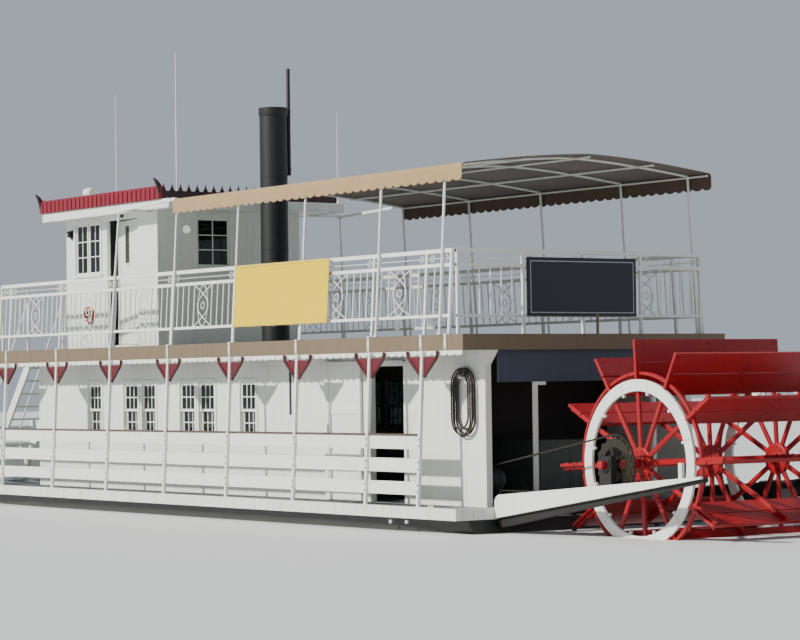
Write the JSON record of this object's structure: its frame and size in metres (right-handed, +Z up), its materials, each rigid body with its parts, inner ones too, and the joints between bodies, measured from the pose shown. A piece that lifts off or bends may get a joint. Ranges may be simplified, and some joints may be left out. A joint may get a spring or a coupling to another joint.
{
  "type": "stern-wheel paddle steamer",
  "caption": "Two-deck excursion boat with a paddle wheel on beams behind the stern, an open upper deck under a fabric canopy, a pilothouse, a funnel and a hull with keel and rudders.",
  "frame": {"origin": "on the waterline at the hull mid-length, on the centreline", "axes": "+X to the bow, +Y to port, +Z up"},
  "size_m": [20.13, 4.7492, 7.95],
  "materials": {
    "white_paint": "satin",
    "black_paint": "satin",
    "deck_paint": "matt",
    "blue_grey_paint": "satin",
    "engine_paint": "satin",
    "oiled_steel": "oiled",
    "red_paint": "satin",
    "tan_paint": "matt",
    "navy_paint": "satin",
    "yellow_vinyl": "satin",
    "canvas": "matt",
    "varnished_wood": "gloss",
    "whip_plastic": "matt",
    "rope": "matt"
  },
  "bodies": {
    "boat": {"hull": "black_paint", "guard": "white_paint", "main_deck": "deck_paint", "cabin_wall_port": "white_paint", "cabin_wall_starboard": "white_paint", "cabin_wall_front": "white_paint", "cabin_bulkhead_aft": "white_paint", "stern_header": "blue_grey_paint", "stern_post_port": "white_paint", "stern_post_starboard": "white_paint", "engine_block": "engine_paint", "drive_motor": "engine_paint", "drive_chain": "oiled_steel", "stern_plank_port": "white_paint", "stern_plank_starboard": "white_paint", "stern_timbers": "black_paint", "side_posts_port": "white_paint", "side_posts_starboard": "white_paint", "foredeck_rail": "white_paint", "stair": "white_paint", "upper_deck": "deck_paint", "deck_fascia": "tan_paint", "scallop_trim": "white_paint", "upper_rail_port": "white_paint", "upper_rail_starboard": "white_paint", "upper_rail_aft": "white_paint", "upper_rail_front": "white_paint", "upper_rail_front_port": "white_paint", "sign_board": "navy_paint", "vinyl_sign": "yellow_vinyl", "canopy_frame": "white_paint", "canopy": "canvas", "pilothouse_wall_port": "white_paint", "pilothouse_wall_starboard": "white_paint", "pilothouse_wall_aft": "white_paint", "pilothouse_wall_front": "white_paint", "pilothouse_roof": "white_paint", "roof_cresting": "red_paint", "helm": "varnished_wood", "searchlight": "white_paint", "funnel": "black_paint", "antenna_port": "whip_plastic", "antenna_fore": "whip_plastic", "antenna_starboard": "whip_plastic", "rope_hank": "rope"},
    "wheel": {"paddle_wheel": "red_paint", "wheel_felloes_port": "white_paint", "wheel_felloes_starboard": "white_paint", "drive_sprocket": "oiled_steel"},
    "port_rudder": {"rudder_port": "black_paint"},
    "starboard_rudder": {"rudder_starboard": "black_paint"},
    "port_cabin_door": {"cabin_door_port": "white_paint"},
    "starboard_cabin_door": {"cabin_door_starboard": "white_paint"},
    "front_cabin_door": {"cabin_door_front": "white_paint"},
    "port_pilothouse_door": {"pilothouse_door_port": "white_paint"},
    "starboard_pilothouse_door": {"pilothouse_door_starboard": "white_paint"}
  },
  "joints": [
    {"name": "paddle_wheel_turn", "type": "hinge", "parent": "boat", "child": "wheel", "pos_m": [-10.16, 0, 0.908], "axis": [0, 1, 0], "continuous": true},
    {"name": "rudder_port_turn", "type": "hinge", "parent": "boat", "child": "port_rudder", "pos_m": [-8.3, 0.7, -0.3], "axis": [0, 0, 1], "range_deg": [-35, 35]},
    {"name": "rudder_starboard_turn", "type": "hinge", "parent": "boat", "child": "starboard_rudder", "pos_m": [-8.3, -0.7, -0.3], "axis": [0, 0, 1], "range_deg": [-35, 35]},
    {"name": "cabin_door_port_slide", "type": "slide", "parent": "boat", "child": "port_cabin_door", "axis": [1, 0, 0], "range_m": [-1, 0]},
    {"name": "cabin_door_starboard_slide", "type": "slide", "parent": "boat", "child": "starboard_cabin_door", "axis": [1, 0, 0], "range_m": [0, 1]},
    {"name": "cabin_door_front_swing", "type": "hinge", "parent": "boat", "child": "front_cabin_door", "pos_m": [4.505, 0.398, 1.26], "axis": [0, 0, 1], "range_deg": [0, 100]},
    {"name": "pilothouse_door_port_swing", "type": "hinge", "parent": "boat", "child": "port_pilothouse_door", "pos_m": [1.85, 1.265, 3.61], "axis": [0, 0, 1], "range_deg": [-75, 9]},
    {"name": "pilothouse_door_starboard_swing", "type": "hinge", "parent": "boat", "child": "starboard_pilothouse_door", "pos_m": [1.85, -1.265, 3.61], "axis": [0, 0, 1], "range_deg": [0, 84]}
  ],
  "couplings": [
    {"joint": "rudder_starboard_turn", "follows": "rudder_port_turn", "ratio": 1}
  ]
}
